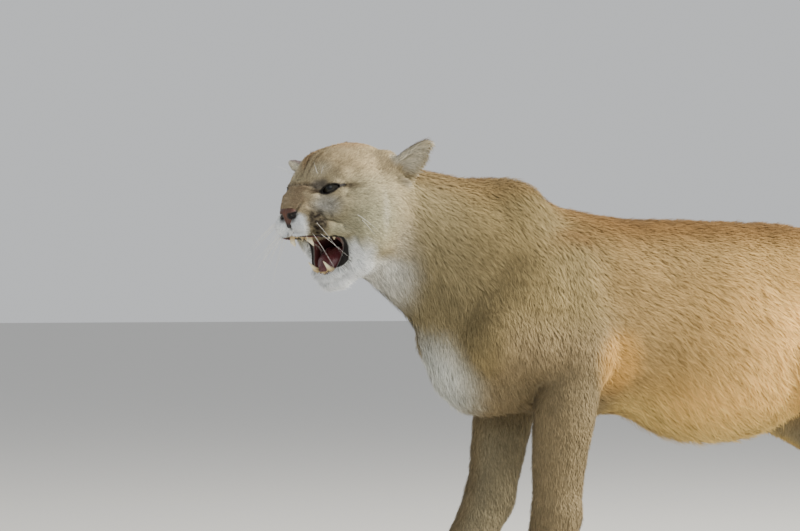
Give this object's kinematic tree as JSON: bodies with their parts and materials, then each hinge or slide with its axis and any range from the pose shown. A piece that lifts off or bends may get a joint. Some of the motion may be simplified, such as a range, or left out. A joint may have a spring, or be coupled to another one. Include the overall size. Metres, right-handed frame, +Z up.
{
  "type": "standing cougar",
  "caption": "Life-size cougar standing on four paws with its head turned, snarling with an open mouth, ears laid back and a long hanging tail",
  "frame": {"origin": "centre of the bounding box in plan, on the ground under the soles", "axes": "-X is ahead, the way the nose points; the animal's left side faces -Y; +Z is up"},
  "size_m": [1.5047, 0.267, 0.7105],
  "materials": {
    "coat": "short dense tawny fur, white at the throat and muzzle, longer under the belly",
    "nose_leather": "pebbled, slightly moist",
    "mouth_flesh": "wet, with papillae",
    "gums_and_teeth": "glossy ivory teeth in wet pink and dark gums",
    "eye_surface": "clear and wet over an amber iris"
  },
  "bodies": {
    "root": {"head": "coat", "lower_jaw": "coat", "ear_left": "coat", "ear_right": "coat", "neck": "coat", "torso": "coat", "tail_root": "coat", "tail_middle": "coat", "tail_tip": "coat", "upper_foreleg_left": "coat", "foreleg_left": "coat", "forepaw_left": "coat", "thigh_left": "coat", "shank_left": "coat", "hind_foot_left": "coat", "upper_foreleg_right": "coat", "foreleg_right": "coat", "forepaw_right": "coat", "thigh_right": "coat", "shank_right": "coat", "hind_foot_right": "coat", "nose": "nose_leather", "tongue": "mouth_flesh", "upper_gums": "gums_and_teeth", "lower_gums": "gums_and_teeth", "eye_left": "eye_surface", "eye_right": "eye_surface"}
  },
  "joints": []
}
